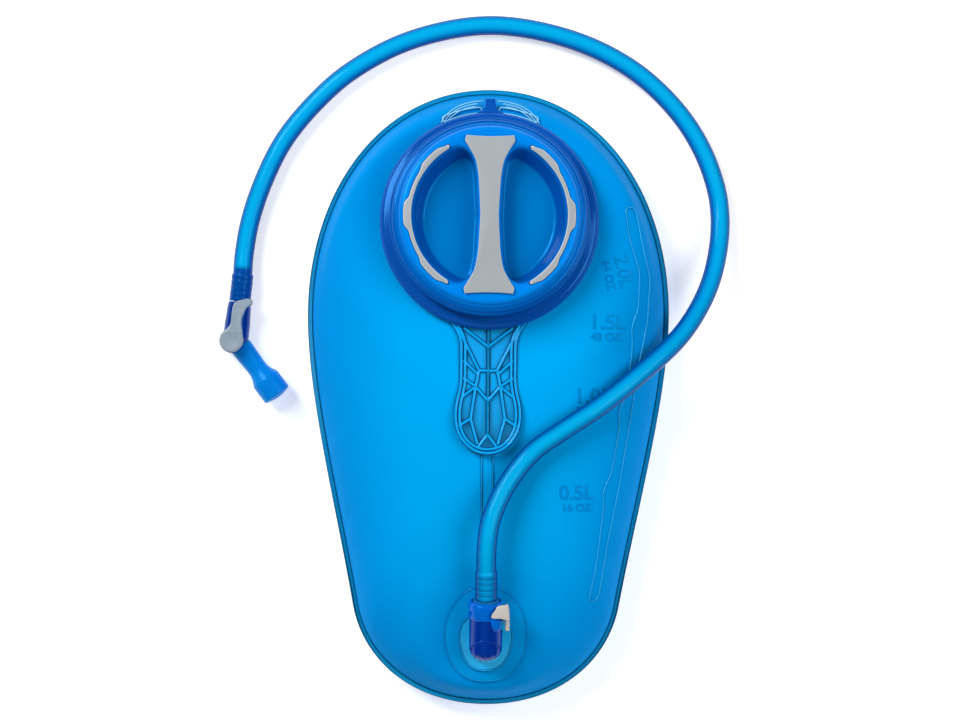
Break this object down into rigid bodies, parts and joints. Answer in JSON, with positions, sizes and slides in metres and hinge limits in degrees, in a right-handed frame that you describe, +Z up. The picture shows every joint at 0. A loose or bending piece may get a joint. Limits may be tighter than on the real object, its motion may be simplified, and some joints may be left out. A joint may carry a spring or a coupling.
{
  "type": "hydration bladder",
  "caption": "Egg-shaped welded film drinking reservoir with a screw cap, ribbed handle, quick-release outlet and a tube ending in an elbow shut-off and bite valve.",
  "frame": {"origin": "under the middle of the reservoir, on the surface that it lies on", "axes": "+X across the reservoir to the wearer's view of its right, +Y along it towards the hanging loops, +Z up out of the front film"},
  "size_m": [0.2559, 0.3457, 0.0693],
  "materials": {
    "film": "satin TPU film",
    "clear_moulding": "clear moulded TPU",
    "collar_blue": "moulded polypropylene",
    "cap_blue": "translucent moulded polypropylene",
    "grey_grip": "soft-touch overmoulding",
    "seal_rubber": "moulded seal",
    "navy_plastic": "translucent moulded plastic",
    "button_plastic": "moulded acetal",
    "white_plastic": "moulded acetal",
    "spring_steel": "stainless spring wire",
    "tube_plastic": "translucent extruded TPU tube",
    "lever_plastic": "moulded plastic",
    "bite_silicone": "moulded silicone"
  },
  "bodies": {
    "reservoir": {"front_film": "film", "back_film": "film", "spine_strip": "clear_moulding", "port_flange": "clear_moulding", "fill_collar": "collar_blue", "exit_flange": "clear_moulding", "exit_socket": "navy_plastic", "poppet_spring": "spring_steel"},
    "cap_seal": {"cap_o_ring": "seal_rubber"},
    "cap": {"cap_body": "cap_blue", "cap_bridge_grip": "grey_grip", "cap_arc_grip_left": "grey_grip", "cap_arc_grip_right": "grey_grip"},
    "button": {"release_button": "button_plastic", "latch_spring": "spring_steel"},
    "poppet": {"valve_poppet": "white_plastic", "poppet_seal": "seal_rubber"},
    "line": {"link_plug": "navy_plastic", "plug_o_ring": "seal_rubber", "drink_tube": "tube_plastic", "shutoff_body": "navy_plastic", "bite_valve": "bite_silicone"},
    "shutoff": {"shutoff_rotor": "white_plastic", "rotor_o_ring": "seal_rubber", "shutoff_lever": "lever_plastic"}
  },
  "joints": [
    {"name": "cap_lift", "type": "slide", "parent": "reservoir", "child": "cap_seal", "axis": [0, 0.1132, 0.9936], "range_m": [0, 0.0181]},
    {"name": "cap_turn", "type": "hinge", "parent": "cap_seal", "child": "cap", "pos_m": [0, 0.0862, 0.043], "axis": [0, 0.1132, 0.9936], "range_deg": [0, 540]},
    {"name": "button_press", "type": "slide", "parent": "reservoir", "child": "button", "axis": [-1, 0, 0], "range_m": [0, 0.0015], "stiffness_N_per_m": 600, "springref_m": -0.002},
    {"name": "link_pull", "type": "slide", "parent": "reservoir", "child": "line", "axis": [0, 0.9744, 0.225], "range_m": [0, 0.024]},
    {"name": "poppet_close", "type": "slide", "parent": "reservoir", "child": "poppet", "axis": [0, 0.9744, 0.225], "range_m": [0, 0.0026]},
    {"name": "lever_swing", "type": "hinge", "parent": "line", "child": "shutoff", "pos_m": [-0.1286, 0.0272, 0.0071], "axis": [0, 0, 1], "range_deg": [0, 90]}
  ],
  "couplings": [
    {"joint": "cap_lift", "follows": "cap_turn", "m_per_rad": 0.0019099},
    {"joint": "poppet_close", "follows": "link_pull", "ratio": 0.1}
  ]
}
